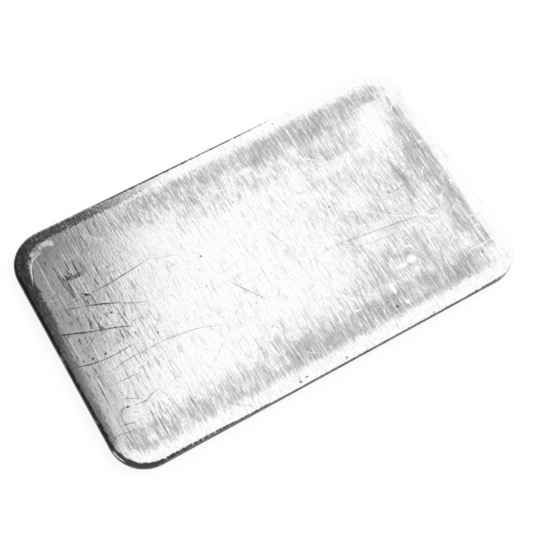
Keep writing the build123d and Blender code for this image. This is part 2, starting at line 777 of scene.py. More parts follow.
@dataclass
class IngotBar:
    """The bar as one closed mesh with its wear worked in.

    Attributes:
        shape: The bar's shape.
        wear: The wear of each face.
        land_step: Distance between the mesh points on the lands.
        rim_step: Distance between the mesh points round the side wall.
        shoulder_rows: Rows of points down each shoulder.
        crown_rows: Rows of points across each crown.
        wall_rows: Rows of faces up the side wall.
        rim_spread: How much wider the points of a rim's row are spaced for each step inwards.
        mark_step: Distance between the mesh points along a mark.
        mark_inset: Least distance inside the side wall at which the mesh follows a mark.
        unevenness: How far the faces dip and rise.
        swells: Shortest and longest wave of that.
        chafing: The wear of the edge.
        edge_reach: How far the edge's own finish reaches in over the shoulders.
    """

    shape: BarShape
    wear: dict[Face, FaceWear]
    land_step: float = 0.5
    rim_step: float = 0.2
    shoulder_rows: int = 13
    crown_rows: int = 6
    wall_rows: int = 6
    rim_spread: float = 0.06
    mark_step: float = 0.4
    mark_inset: float = 0.35
    unevenness: float = 0.003
    swells: tuple[float, float] = (5.0, 18.0)
    chafing: Chafing = Chafing()
    edge_reach: float = 0.07

    def rows(self) -> list[float]:
        """Where the mesh has rows of points round the rim.

        Returns:
            Their distances inside the side wall, from the wall in to the land.
        """
        shape = self.shape
        angles = np.linspace(math.pi / 2, 0, self.shoulder_rows + 1)
        shoulder = shape.shoulder_reach * (1 - np.sin(angles))
        crown = np.linspace(shape.shoulder_reach, shape.corner_radius, self.crown_rows + 1)[1:-1]
        return [*shoulder, *crown]

    def land_points(self) -> Plan:
        """Covers the flat land with points.

        Returns:
            The points, in staggered rows.
        """
        half = self.shape.land_half
        row_share = 0.866  # Height of a triangle with sides of length one.
        across = np.arange(-half[1], half[1] + 1e-6, self.land_step * row_share)
        rows = []
        for number, y in enumerate(across):
            shift = self.land_step / 2 * (number % 2)
            x = np.arange(-half[0] + shift, half[0] + 1e-6, self.land_step)
            rows.append(np.stack([x, np.full_like(x, y)], axis=1))
        return np.concatenate(rows)

    def triangulate(self, wear: FaceWear) -> tuple[Plan, np.ndarray, np.ndarray]:
        """Covers the plan with triangles that follow the rim's rows and the marks.

        Args:
            wear: The face's wear.

        Returns:
            The plan points, the triangles and the outermost row's points in order.
        """
        shape = self.shape
        runs = [(shape.ring(inset, self.rim_step + self.rim_spread * inset), True) for inset in self.rows()]
        for mark in wear.drawn:
            guides = mark.guides(self.mark_step)
            runs += [guide for guide in guides if shape.inset(guide[0]).min() > self.mark_inset]
        edges: list[tuple[int, int]] = []
        first = 0
        for line, closed in runs:
            after = first + len(line)
            edges += zip(range(first, after - 1), range(first + 1, after))
            if closed:
                edges.append((after - 1, first))
            first = after
        plan = np.concatenate([*(line for line, _ in runs), self.land_points()])
        found = delaunay_2d_cdt([Vector(p) for p in plan.tolist()], edges, [], 0, 1e-5, True)
        places = np.array([tuple(v) for v in found[0]])
        triangles = np.array([f for f in found[2] if len(f) == 3])
        made_from = {source: new for new, sources in enumerate(found[3]) for source in sources}
        rim = np.array([made_from[i] for i in range(len(runs[0][0]))])
        corners = places[triangles]
        one, two = corners[:, 1] - corners[:, 0], corners[:, 2] - corners[:, 0]
        turned = one[:, 0] * two[:, 1] - one[:, 1] * two[:, 0] < 0
        triangles[turned] = triangles[turned][:, ::-1]
        return places, triangles, rim

    def face_shell(self, face: Face) -> Shell:
        """One broad face out to the side wall, with its marks pressed in.

        Args:
            face: Which face.

        Returns:
            The face's part of the mesh.
        """
        shape, wear = self.shape, self.wear[face]
        plan, triangles, rim = self.triangulate(wear)
        inset = shape.inset(plan)
        depth, dark, bright = wear.press(plan)
        swell = np.clip(Ripple(wear.seed + 5, *self.swells).at(plan), -1.1, 1.1)
        uneven = self.unevenness * (1.2 + swell) * smooth_step(inset / shape.shoulder_reach)
        height = shape.thickness - shape.fall(inset) - depth - uneven
        if face is Face.UNDERSIDE:
            height = shape.thickness - height
            triangles = triangles[:, ::-1]
        worn_in = self.chafing.at(plan, height) * smooth_step(1 - inset / self.chafing.reach)
        places = np.column_stack([plan - shape.outward(plan) * worn_in[:, None], height])
        values = {
            Layer.DULLING: wear.dulling(plan),
            Layer.SCUFFING: wear.scuffing(plan),
            Layer.SCORE: dark,
            Layer.BURNISH: bright,
            **wear.soiling.at(plan, shape),
        }
        return Shell(places, triangles, values, rim)

    def wall(self, top: Shell, foot: Shell) -> tuple[np.ndarray, np.ndarray]:
        """The side wall between the two faces' outermost rows.

        Args:
            top: The upper face.
            foot: The underside.

        Returns:
            The wall's own inner points, row by row from the top down, and its triangles, numbered as in
            the finished mesh: the upper face's points, the underside's, then these.
        """
        shape = self.shape
        ring = shape.ring(0, self.rim_step)
        size = len(ring)
        offset = len(top.places)
        first_wall = offset + len(foot.places)
        rows, levels = [], [top.rim]
        for row in range(1, self.wall_rows):
            share = row / self.wall_rows
            height = np.full(size, shape.wall_top + (shape.wall_foot - shape.wall_top) * share)
            worn = self.chafing.at(ring, height)
            rows.append(np.column_stack([ring - shape.outward(ring) * worn[:, None], height]))
            levels.append(first_wall + np.arange(size) + size * (row - 1))
        levels.append(offset + foot.rim)
        triangles = []
        for upper, lower in zip(levels[:-1], levels[1:], strict=True):
            upper_next, lower_next = np.roll(upper, -1), np.roll(lower, -1)
            triangles.append(np.stack([upper, lower, lower_next], axis=1))
            triangles.append(np.stack([upper, lower_next, upper_next], axis=1))
        return np.concatenate(rows), np.concatenate(triangles)

    def unwrap(self, places: np.ndarray, triangles: np.ndarray) -> np.ndarray:
        """Lays both faces out flat, with the rim and half the wall unrolled round each.

        Args:
            places: All points, in millimetres.
            triangles: All triangles.

        Returns:
            A place on the unit square for each triangle's corners.
        """
        shape = self.shape
        plan, height = places[:, :2], places[:, 2]
        reach = shape.profile_length(np.clip(shape.inset(plan), 0, None))
        down_wall = np.clip(np.minimum(shape.wall_top - height, height - shape.wall_foot), 0, None)
        flat = shape.on_land(plan) + shape.outward(plan) * (reach + down_wall)[:, None]
        margin = 1.0
        island = np.array([shape.length, shape.width]) + margin
        scale = 1 / (2 * island[1] + margin)
        on_top = places[triangles][:, :, 2].mean(axis=1) > shape.thickness / 2
        corners = flat[triangles]
        corners[~on_top, :, 0] *= -1
        shift = np.where(on_top, island[1] * 1.5, island[1] * 0.5) + margin / 2
        corners[:, :, 1] += shift[:, None]
        corners[:, :, 0] += 0.5 / scale
        return corners * scale

    def build(self) -> bpy.types.Object:
        """Makes the bar's mesh object, with its carried values and its map.

        Returns:
            The object, at the row's origin.
        """
        top, foot = self.face_shell(Face.TOP), self.face_shell(Face.UNDERSIDE)
        wall_places, wall_triangles = self.wall(top, foot)
        places = np.concatenate([top.places, foot.places, wall_places])
        triangles = np.concatenate([top.triangles, foot.triangles + len(top.places), wall_triangles])
        soiling = self.wear[Face.TOP].soiling
        # Dirt and painted shade: the side wall is kept dark at least to the wall strength.
        wall_soil_and_shade = np.maximum(soiling.at(wall_places[:, :2], self.shape)[Layer.SOIL], soiling.wall)
        mesh = bpy.data.meshes.new("silver_bar")
        mesh.from_pydata((places * MM).tolist(), [], triangles.tolist())
        mesh.shade_smooth()
        for layer in Layer:
            carried = mesh.attributes.new(layer.value, "FLOAT", "POINT")
            on_wall = wall_soil_and_shade if layer is Layer.SOIL else np.zeros(len(wall_places))
            values = [top.values[layer], foot.values[layer], on_wall]
            carried.data.foreach_set("value", np.concatenate(values))
        charts = mesh.uv_layers.new(name="OFBake")
        charts.data.foreach_set("uv", self.unwrap(places, triangles).ravel())
        self.mark_edge(mesh, places, triangles)
        return add_object("silver_bar", mesh)

    def mark_edge(self, mesh: bpy.types.Mesh, places: np.ndarray, triangles: np.ndarray) -> None:
        """Gives the side wall and the shoulders' last steep part the second finish.

        Args:
            mesh: The bar's mesh.
            places: Its points, in millimetres.
            triangles: Its triangles.
        """
        middles = places[triangles].mean(axis=1)
        is_edge = self.shape.inset(middles[:, :2]) < self.edge_reach
        mesh.polygons.foreach_set("material_index", is_edge.astype(np.int32))

    def dress(self, bar: bpy.types.Object, finishes: Sequence[bpy.types.Material]) -> None:
        """Puts the finishes on the bar: the brushed faces' first and the edge's second."""
        for finish in finishes:
            bar.data.materials.append(finish)


# Shader building


class Value:
    """A shader value, which can be worked with like a number."""

    def __init__(self, sheet: Sheet, socket: bpy.types.NodeSocket) -> None:
        """Keeps the sheet that the value is on and the socket that gives it."""
        self.sheet = sheet
        self.socket = socket

    def __add__(self, other: Feed) -> Value:
        """This value plus another one."""
        return self.sheet.math("ADD", self, other)

    def __sub__(self, other: Feed) -> Value:
        """This value less another one."""
        return self.sheet.math("SUBTRACT", self, other)

    def __rsub__(self, other: Feed) -> Value:
        """Another value less this one."""
        return self.sheet.math("SUBTRACT", other, self)

    def __mul__(self, other: Feed) -> Value:
        """This value times another one."""
        return self.sheet.math("MULTIPLY", self, other)

    def __truediv__(self, other: Feed) -> Value:
        """This value divided by another one."""
        return self.sheet.math("DIVIDE", self, other)

    def held(self) -> Value:
        """The same value, which a Math node gives, held between 0 and 1."""
        self.socket.node.use_clamp = True
        return self

    def broken(self, grain: Value, level: float, spread: float) -> Value:
        """The value times a level which a grain varies by a spread, held between 0 and 1."""
        return ((grain * spread + level) * self).held()

    def ease(self, low: Feed, high: Feed, to_low: Feed = 0.0, to_high: Feed = 1.0) -> Value:
        """The value eased from its own range, low to high, to another one, and held at both ends."""
        ends = (low, high, to_low, to_high)
        return self.sheet.result("MapRange", self, *ends, interpolation_type="SMOOTHSTEP")


Feed = float | Sequence[float] | Value | bpy.types.NodeSocket


class Sheet:
    """Adds nodes to one node tree and joins them."""

    def __init__(self, tree: bpy.types.NodeTree) -> None:
        """Keeps the tree and empties it."""
        self.tree = tree
        tree.nodes.clear()

    def add(self, kind: str, feeds: dict[str, Feed] | None = None, **settings: object) -> bpy.types.Node:
        """Adds a node.

        Args:
            kind: The node's type name, without its leading ShaderNode.
            feeds: What its inputs are fed with, by name.
            settings: Values for the node's own properties.

        Returns:
            The node.
        """
        prefix = "" if kind.startswith("Node") else "ShaderNode"
        node = self.tree.nodes.new(prefix + kind)
        for name, value in settings.items():
            setattr(node, name, value)
        for name, value in (feeds or {}).items():
            self.feed(node.inputs[name], value)
        return node

    def feed(self, socket: bpy.types.NodeSocket, value: Feed) -> None:
        """Joins a socket to another one, or sets its value.

        Args:
            socket: The input to feed.
            value: The output that feeds it, or its value.
        """
        source = value.socket if isinstance(value, Value) else value
        if isinstance(source, bpy.types.NodeSocket):
            self.tree.links.new(source, socket)
        else:
            socket.default_value = source

    def result(self, kind: str, *values: Feed, **settings: object) -> Value:
        """Adds a node, feeds its inputs in order and gives its first output.

        Args:
            kind: The node's type name, without its leading ShaderNode.
            values: What its inputs are fed with.
            settings: Values for the node's own properties.

        Returns:
            The output.
        """
        node = self.add(kind, **settings)
        for socket, value in zip(node.inputs, values):
            self.feed(socket, value)
        return Value(self, node.outputs[0])

    def math(self, operation: str, *values: Feed) -> Value:
        """The result of a Math node."""
        return self.result("Math", *values, operation=operation)

    def noise(self, place: Feed, scale: float, detail: float, rough: float = 0.5) -> Value:
        """Adds a Noise Texture and centres it.

        Args:
            place: Where it is read.
            scale: Its scale.
            detail: Its detail.
            rough: Its roughness.

        Returns:
            A value mostly between -1 and 1, round zero.
        """
        node = self.add("TexNoise", {"Vector": place, "Scale": scale, "Detail": detail, "Roughness": rough})
        middle, spread = 0.5, 4.0
        return (Value(self, node.outputs["Fac"]) - middle) * spread

    def mix(self, share: Feed, one: Feed, two: Feed) -> Value:
        """Blends two colours.

        Args:
            share: How much of the second one it has.
            one: The first colour.
            two: The second colour.

        Returns:
            The blend.
        """
        node = self.add("Mix", data_type="RGBA")
        for name, value in (("Factor_Float", share), ("A_Color", one), ("B_Color", two)):
            self.feed(next(s for s in node.inputs if s.identifier == name), value)
        return Value(self, next(s for s in node.outputs if s.identifier == "Result_Color"))

    def split(self, kind: str, value: Feed) -> list[Value]:
        """Takes a vector or a colour apart.

        Args:
            kind: SeparateXYZ or SeparateColor.
            value: The vector or colour.

        Returns:
            Its three parts.
        """
        node = self.add(kind)
        self.feed(node.inputs[0], value)
        return [Value(self, socket) for socket in node.outputs]

    def carried(self, layer: Layer) -> Value:
        """A value that the mesh carries at its vertices."""
        return Value(self, self.add("Attribute", attribute_name=layer.value).outputs["Fac"])

    def place_mm(self) -> Value:
        """The place on the object, in millimetres."""
        place = self.add("TexCoord").outputs["Object"]
        return self.result("VectorMath", place, (0, 0, 0), (0, 0, 0), 1 / MM, operation="SCALE")

    def group(self, effect: bpy.types.NodeTree, **values: Feed) -> list[Value]:
        """Places an effect's group and feeds its inputs.

        Args:
            effect: The group.
            values: What its inputs are fed with, by name, with their spaces written as underscores.

        Returns:
            The group's outputs in order.
        """
        node = self.add("Group")
        node.node_tree = effect
        for name, value in values.items():
            self.feed(node.inputs[name.replace("_", " ").capitalize()], value)
        return [Value(self, socket) for socket in node.outputs]

    def end_metal(self, toned: Value, rough: Value, relief: Value, depth: float) -> None:
        """Ends a bare metal's nodes with its bump and its shader.

        Args:
            toned: Its colour.
            rough: Its roughness.
            relief: Its fine relief.
            depth: How deep the relief is.
        """
        bump = self.add("Bump", {"Strength": 1.0, "Distance": depth, "Height": relief})
        feeds = {"Base Color": toned, "Metallic": 1.0, "Roughness": rough, "Normal": bump.outputs[0]}
        shader = self.add("BsdfPrincipled", feeds)
        self.add("OutputMaterial", {"Surface": shader.outputs[0]})

    def seen_plainly(self) -> Value:
        """Finds the rays that show a background: the camera's own, and those off or through an object.

        Returns:
            1 for those rays and 0 for others.
        """
        path = self.add("LightPath").outputs
        mirrored = self.math("MAXIMUM", path["Is Camera Ray"], path["Is Glossy Ray"])
        return self.math("MAXIMUM", mirrored, path["Is Transmission Ray"])


@dataclass(frozen=True)
class Port:
    """A named input or output of an effect group, with the value that it starts with."""

    name: str
    kind: str = "NodeSocketFloat"
    start: float | None = None


class Effect:
    """A shader node group with named inputs and outputs, which more than one finish uses."""

    name: str = ""
    inputs: tuple[Port, ...] = ()
    outputs: tuple[Port, ...] = ()

    def build(self) -> bpy.types.NodeTree:
        """Makes the group.

        Returns:
            The group's node tree.
        """
        tree = bpy.data.node_groups.new(self.name, "ShaderNodeTree")
        for way, ports in (("INPUT", self.inputs), ("OUTPUT", self.outputs)):
            for port in ports:
                socket = tree.interface.new_socket(port.name, in_out=way, socket_type=port.kind)
                if port.start is not None:
                    socket.default_value = port.start
        sheet = Sheet(tree)
        source = sheet.add("NodeGroupInput")
        given = {socket.name: Value(sheet, socket) for socket in source.outputs if socket.name}
        sheet.add("NodeGroupOutput", self.work(sheet, given))
        return tree

    def work(self, sheet: Sheet, given: dict[str, Value]) -> dict[str, Value]:
        """Adds the group's own nodes.

        Args:
            sheet: The group's node sheet.
            given: The group's inputs by name.

        Returns:
            The outputs' values by name.
        """
        raise NotImplementedError


class BrushedGrain(Effect):
    """Strokes of a brush: streaks of a set width and length, that lean and wander a little."""

    name = "brushed_grain"
    inputs = (
        Port("Place", "NodeSocketVector"),
        Port("Width", start=0.15),
        Port("Length", start=3.0),
        Port("Lean", start=0.0),
        Port("Seed", start=0.0),
    )
    outputs = (Port("Streak"),)
    wander_scale = 0.2
    wander_mm = 0.075

    def work(self, sheet: Sheet, given: dict[str, Value]) -> dict[str, Value]:
        """Adds the group's own nodes.

        Args:
            sheet: The group's node sheet.
            given: The group's inputs by name.

        Returns:
            The outputs' values by name.
        """
        place = given["Place"]
        turned = sheet.add("VectorRotate", {"Vector": place, "Angle": given["Lean"]}, rotation_type="Z_AXIS")
        x, y, z = sheet.split("SeparateXYZ", turned.outputs[0])
        wandered = sheet.noise(place, self.wander_scale, 0.0) * self.wander_mm + x
        across, along = wandered / given["Width"], y / given["Length"]
        strand = sheet.result("CombineXYZ", across, along, z * 2.0 + given["Seed"])
        return {"Streak": sheet.noise(strand, 1.0, 2.0, 0.55)}


class Tarnish(Effect):
    """Cloudy toning, small dark specks, a jagged field for the limits of the dirt and painted shade, and a
    finer grit.
    """

    name = "tarnish"
    inputs = (
        Port("Place", "NodeSocketVector"),
        Port("Cloud size", start=3.0),
        Port("Speck size", start=0.12),
    )
    outputs = (Port("Cloud"), Port("Speck"), Port("Jag"), Port("Grit"))
    specks_per_mm = 0.55
    speck_core = 0.35
    jag_scale = 1.6
    grit_scale = 4.2

    def work(self, sheet: Sheet, given: dict[str, Value]) -> dict[str, Value]:
        """Adds the group's own nodes.

        Args:
            sheet: The group's node sheet.
            given: The group's inputs by name.

        Returns:
            The outputs' values by name.
        """
        place = given["Place"]
        clouds = sheet.result("VectorMath", place, given["Cloud size"], operation="DIVIDE")
        cells = sheet.add("TexVoronoi", {"Vector": place, "Scale": self.specks_per_mm}, feature="F1")
        chance = sheet.split("SeparateColor", cells.outputs["Color"])[0]
        size = chance * given["Speck size"]
        return {
            "Cloud": sheet.noise(clouds, 1.0, 4.0, 0.6),
            "Speck": Value(sheet, cells.outputs["Distance"]).ease(size, size * self.speck_core),
            "Jag": sheet.noise(place, self.jag_scale, 3.0, 0.6),
            "Grit": sheet.noise(place, self.grit_scale, 1.0),
        }


class Effects:
    """The effect groups that the finishes share, each built once."""

    def __init__(self) -> None:
        """Builds the groups."""
        self.grain = BrushedGrain().build()
        self.tarnish = Tarnish().build()


def new_material(name: str) -> tuple[bpy.types.Material, Sheet]:
    """Makes an empty material.

    Args:
        name: The material's name.

    Returns:
        The material and its node sheet.
    """
    material = bpy.data.materials.new(name)
    material.use_nodes = True
    return material, Sheet(material.node_tree)


Colour = tuple[float, float, float, float]
Span = tuple[float, float]


def grey(level: float) -> Colour:
    """An even grey as a colour."""
    return level, level, level, 1.0


class Fields(NamedTuple):
    """What the brushed finish is worked from: five grains of the brush, then the tarnish."""

    fine: Value
    middle: Value
    coarse: Value
    stroke: Value
    scratch: Value
    cloud: Value
    speck: Value
    jag: Value
    grit: Value


class Masks(NamedTuple):
    """Where the brushed finish is dull, partly painted reflection shade, nicked, scored, rubbed bright and
    in one line a painted highlight, darkened by dirt and painted shade, darkened by a stain of painted dark
    reflection, and scuffed.
    """

    covered: Value
    nicked: Value
    scored: Value
    burnished: Value
    soiled: Value
    stained: Value
    scuffed: Value


@dataclass(frozen=True)
class BrushedSilver:
    """The finish of the broad faces: brushed across the bar, bright where it is rubbed and dull elsewhere,
    where the dull grey is partly painted reflection shade.

    Attributes:
        bright: Colour of the rubbed metal.
        dull_light: Lightest colour of the dull layer, which is partly painted reflection shade.
        dull_dark: Darkest colour of the dull layer, which is partly painted reflection shade.
        smut: Colour in scratches, nicks and specks.
        ash: Lightest colour of the stain, which is painted dark reflection.
        soot: Darkest colour of the stain, which is painted dark reflection.
        grime: Colour of the dirt and painted shade.
        grains: Width, length, lean and seed of each grain, in the order of the fields.
        cloud_size: Size of the clouds in the dull layer.
        speck_size: Size of the specks.
        cloudiness: How far the clouds thicken or thin the dull layer.
        film_limit: The dull tone and painted shade from which the dull layer covers the metal.
        film_shares: Shares of the fine, middle and coarse grain and of the grit in the dull layer's limits.
        fraying: How far these fray the limits.
        crispness: How much more dull tone and painted shade than the limit makes the dull layer full.
        brushed_off: How much of the dull layer the brightest strokes take off.
        stroke_shine: Where in the stroke grain this starts and is full.
        scratch_shine: Where in the scratch grain this starts and is full.
        stroke_nicks: Where in the stroke grain the dark nicks start and are full.
        scratch_nicks: Where in the scratch grain they do.
        grit_nicks: Where in the grit they do.
        score_fill: How full the scratches are on the whole, and how far the grain breaks them up.
        burnish_fill: The same for the bright rubs and the painted highlight.
        stain_fill: The same for the stain of painted dark reflection.
        soil_limit: Over which strength of the dirt and painted shade it comes to cover the metal.
        soil_fraying: How far the grain frays the limit of the dirt and painted shade.
        stain_limit: Over which strength of the stain, which is painted dark reflection, it comes to show.
        stain_fraying: How far the grain frays the limit of the stain's painted dark reflection.
        streak_limits: Where the film's grain is darkest and lightest.
        bright_roughness: Roughness of the rubbed metal.
        dull_roughness: Roughness of the dull layer.
        rubbed_roughness: Four times what half-rubbed metal adds to it where the face is fully scuffed.
        scored_roughness: What scratches add to it.
        soiled_roughness: What the dirt and painted shade add to it.
        grain_depth: Depth of the brushing.
    """

    bright: Colour = (0.985, 0.985, 0.983, 1.0)
    # Painted reflection shade in part: the dull greys.
    dull_light: Colour = grey(0.56)
    dull_dark: Colour = grey(0.27)
    smut: Colour = grey(0.03)
    # Painted dark reflection: the greys of the stain.
    ash: Colour = grey(0.26)
    soot: Colour = grey(0.08)
    # Painted shade and dirt: the darkest grey at the rim.
    grime: Colour = grey(0.055)
    grains: tuple[tuple[float, float, float, float], ...] = (
        (0.16, 1.2, -0.03, 1.0),
        (0.24, 2.2, 0.02, 5.0),
        (0.55, 4.5, -0.01, 9.0),
        (0.24, 2.2, 0.03, 21.0),
        (0.17, 1.2, -0.04, 33.0),
    )
    cloud_size: float = 1.3
    speck_size: float = 0.11
    cloudiness: float = 0.17
    film_limit: float = 0.38
    film_shares: tuple[float, float, float, float] = (0.32, 0.3, 0.12, 0.26)
    fraying: float = 0.56
    crispness: float = 0.11
    brushed_off: float = 0.5
    stroke_shine: Span = (-0.5, -0.85)
    scratch_shine: Span = (-0.55, -0.9)
    stroke_nicks: Span = (0.45, 0.75)
    scratch_nicks: Span = (0.42, 0.7)
    grit_nicks: Span = (0.8, 1.15)
    score_fill: Span = (1.2, 0.28)
    burnish_fill: Span = (1.3, 0.4)
    stain_fill: Span = (1.0, 0.5)
    soil_limit: Span = (0.2, 0.75)
    soil_fraying: float = 0.2
    stain_limit: Span = (0.42, 0.58)
    stain_fraying: float = 0.12
    streak_limits: Span = (-0.75, 0.75)
    bright_roughness: float = 0.08
    dull_roughness: float = 0.22
    rubbed_roughness: float = 2.4
    scored_roughness: float = 0.25
    soiled_roughness: float = 0.15
    grain_depth: float = 0.0012 * MM

    def fields(self, sheet: Sheet, effects: Effects) -> Fields:
        """Places the effect groups.

        Args:
            sheet: The material's sheet.
            effects: The shared effect groups.

        Returns:
            What the groups give.
        """
        place = sheet.place_mm()
        streaks = [
            sheet.group(effects.grain, place=place, width=width, length=length, lean=lean, seed=seed)[0]
            for width, length, lean, seed in self.grains
        ]
        sizes = {"cloud_size": self.cloud_size, "speck_size": self.speck_size}
        return Fields(*streaks, *sheet.group(effects.tarnish, place=place, **sizes))

    def coverage(self, sheet: Sheet, fields: Fields) -> Value:
        """Frays the dull layer, which is partly painted reflection shade, along the grain.

        Args:
            sheet: The material's sheet.
            fields: The effect groups' fields.

        Returns:
            How fully the dull layer covers the metal.
        """
        # The dull tone carried by the mesh is partly painted reflection shade.
        dulling = fields.cloud * self.cloudiness + sheet.carried(Layer.DULLING) - self.film_limit
        covered: Feed = 0.0
        for grain, share in zip((fields.fine, fields.middle, fields.coarse, fields.grit), self.film_shares):
            frayed = grain * self.fraying + dulling
            covered = frayed.ease(-self.crispness, self.crispness) * share + covered
        brightest = fields.stroke.ease(*self.stroke_shine), fields.scratch.ease(*self.scratch_shine)
        return (sheet.math("MAXIMUM", *brightest) * -self.brushed_off + covered).held()

    def masks(self, sheet: Sheet, fields: Fields) -> Masks:
        """Works out where each kind of wear, dirt and painted shade shows.

        Args:
            sheet: The material's sheet.
            fields: The effect groups' fields.

        Returns:
            How fully each kind shows.
        """
        speckled = fields.grit + fields.fine
        blotched = fields.jag + fields.grit
        scuffed = sheet.carried(Layer.SCUFFING)
        nick = fields.stroke.ease(*self.stroke_nicks)
        for grain, limits in ((fields.scratch, self.scratch_nicks), (fields.grit, self.grit_nicks)):
            nick = sheet.math("MAXIMUM", nick, grain.ease(*limits))
        jagged = (fields.jag + fields.middle) * self.soil_fraying + sheet.carried(Layer.SOIL)
        limit = (blotched * self.stain_fraying + sheet.carried(Layer.STAIN)).ease(*self.stain_limit)
        stain = sheet.carried(Layer.STAIN_DEPTH) * limit
        return Masks(
            covered=self.coverage(sheet, fields),
            nicked=nick * scuffed,
            scored=sheet.carried(Layer.SCORE).broken(speckled, *self.score_fill),
            burnished=sheet.carried(Layer.BURNISH).broken(speckled, *self.burnish_fill),
            soiled=jagged.ease(*self.soil_limit),
            stained=stain.broken(fields.fine + blotched, *self.stain_fill),
            scuffed=scuffed,
        )

    def tone(self, sheet: Sheet, fields: Fields, mask: Masks) -> Value:
        """Lays the colours over one another, from the bare metal up.

        Args:
            sheet: The material's sheet.
            fields: The effect groups' fields.
            mask: Where each colour shows.

        Returns:
            The finish's colour.
        """
        streaked = (fields.cloud * 0.4 + (fields.fine + fields.grit)).ease(*self.streak_limits)
        ashy_shade = (fields.jag + fields.grit).ease(-1.0, 1.0)
        toned = sheet.mix(mask.covered, self.bright, sheet.mix(streaked, self.dull_dark, self.dull_light))
        for share, colour in (
            (mask.nicked, self.smut),
            (mask.scored, self.smut),
            (fields.speck * 0.4, self.smut),
            # Painted dark reflection as a stain, then dirt and painted shade, then bright metal that holds
            # the painted highlight.
            (mask.stained, sheet.mix(ashy_shade, self.soot, self.ash)),
            (mask.soiled, self.grime),
            (mask.burnished, self.bright),
        ):
            toned = sheet.mix(share, toned, colour)
        return toned

    def roughness(self, mask: Masks) -> Value:
        """Works out the roughness: least where the metal is rubbed, most in scratches and in the dirt and
        painted shade.

        Args:
            mask: Where each kind of wear and dirt shows.

        Returns:
            The roughness.
        """
        dull_shade_cover = (mask.covered - mask.burnished).held()
        rough = dull_shade_cover.ease(0.0, 1.0, self.bright_roughness, self.dull_roughness)
        half_rubbed = mask.burnished * (1.0 - mask.burnished)
        rough = mask.scored * self.scored_roughness + rough
        rough = half_rubbed * mask.scuffed * self.rubbed_roughness + rough
        return (mask.soiled * self.soiled_roughness + rough).held()

    def make(self, effects: Effects) -> bpy.types.Material:
        """Builds the material.

        Args:
            effects: The shared effect groups.

        Returns:
            The material.
        """
        material, sheet = new_material("brushed_silver")
        fields = self.fields(sheet, effects)
        mask = self.masks(sheet, fields)
        relief = fields.grit * 0.5 + fields.fine
        sheet.end_metal(self.tone(sheet, fields, mask), self.roughness(mask), relief, self.grain_depth)
        return material


@dataclass(frozen=True)
class ShearedEdge:
    """The finish of the side wall: dull and finely torn, where the bar was cut from its strip, and dark with
    dirt and painted shade.

    Attributes:
        clean: Colour of the bare metal.
        dirty: Colour where the dirt and painted shade are full.
        roughness: Its roughness.
        tear_width: Width of the tears, round the bar.
        tear_length: Length of the tears.
        tear_depth: Depth of the tears.
    """

    clean: Colour = grey(0.80)
    dirty: Colour = grey(0.04)
    roughness: float = 0.42
    tear_width: float = 0.22
    tear_length: float = 0.3
    tear_depth: float = 0.006 * MM

    def make(self, effects: Effects) -> bpy.types.Material:
        """Builds the material.

        Args:
            effects: The shared effect groups.

        Returns:
            The material.
        """
        material, sheet = new_material("sheared_silver_edge")
        place = sheet.place_mm()
        tearing = {"width": self.tear_width, "length": self.tear_length, "seed": 3.0}
        tears = sheet.group(effects.grain, place=place, **tearing)[0]
        cloud = sheet.group(effects.tarnish, place=place, cloud_size=1.3, speck_size=0.2)[0]
        # Dirt and painted shade darken the side wall towards its darkest grey.
        soil = tears * 0.06 + (cloud * 0.12 + sheet.carried(Layer.SOIL))
        toned = sheet.mix(soil.ease(0.0, 0.95), self.clean, self.dirty)
        # Painted highlight: the rubbed-bright value brings the bright metal back at the near-left corner's
        # edge.
        toned = sheet.mix(sheet.carried(Layer.BURNISH), toned, self.clean)
        sheet.end_metal(toned, tears * 0.05 + self.roughness, tears, self.tear_depth)
        return material


# The studio


@dataclass(frozen=True)
class Surroundings:
    """What the bar mirrors: white on nearly every side, with a dark gap high on the left and behind.

    The gap's limits are given along the unit directions X, to the right, and Y, to the back.

    Attributes:
        room_light: Light that reaches matt surfaces from every side.
        gap_low: Brightness of the gap on its left.
        gap_high: Brightness of the gap overhead.
        brightening: Where along X the gap turns from the one brightness to the other.
        right_limit: Where along X the gap ends on its right, level with the middle.
        right_slope: How much further it reaches for each step to the back.
        slope_end: Where along Y it stops reaching further.
        right_soft: Half the distance over which that limit fades.
        front_fade: Where along Y the gap's near limit fades in.
        left_spread: How much nearer that limit comes for each step to the left.
    """

    room_light: float = 0.8
    gap_low: float = 0.12
    gap_high: float = 0.233
    brightening: Span = (-0.3, 0.02)
    right_limit: float = -0.068
    right_slope: float = 0.506
    slope_end: float = 0.42
    right_soft: float = 0.029
    front_fade: Span = (0.124, 0.472)
    left_spread: float = 0.13

    def build(self) -> None:
        """Sets the scene's world."""
        world = bpy.data.worlds.new("pale_studio")
        world.use_nodes = True
        bpy.context.scene.world = world
        sheet = Sheet(world.node_tree)
        x, y, _ = sheet.split("SeparateXYZ", sheet.add("TexCoord").outputs["Generated"])
        limit = sheet.math("MINIMUM", y, self.slope_end) * self.right_slope + self.right_limit
        left = (limit - x).ease(-self.right_soft, self.right_soft)
        behind = (y + sheet.math("MAXIMUM", x * -self.left_spread, 0.0)).ease(*self.front_fade)
        level = x.ease(*self.brightening, self.gap_low, self.gap_high)
        mirrored = sheet.math("SUBTRACT", 1.0, sheet.add("LightPath").outputs["Is Camera Ray"])
        seen = sheet.mix(left * behind * mirrored, grey(1.0), level)
        shown = sheet.mix(sheet.seen_plainly(), grey(self.room_light), seen)
        background = sheet.add("Background", {"Color": shown})
        sheet.add("OutputWorld", {"Surface": background.outputs[0]})


def add_object(name: str, data: bpy.types.ID) -> bpy.types.Object:
    """Adds an object to the scene.

    Args:
        name: Its name.
        data: Its mesh, light or camera.

    Returns:
        The object.
    """
    thing = bpy.data.objects.new(name, data)
    bpy.context.scene.collection.objects.link(thing)
    return thing


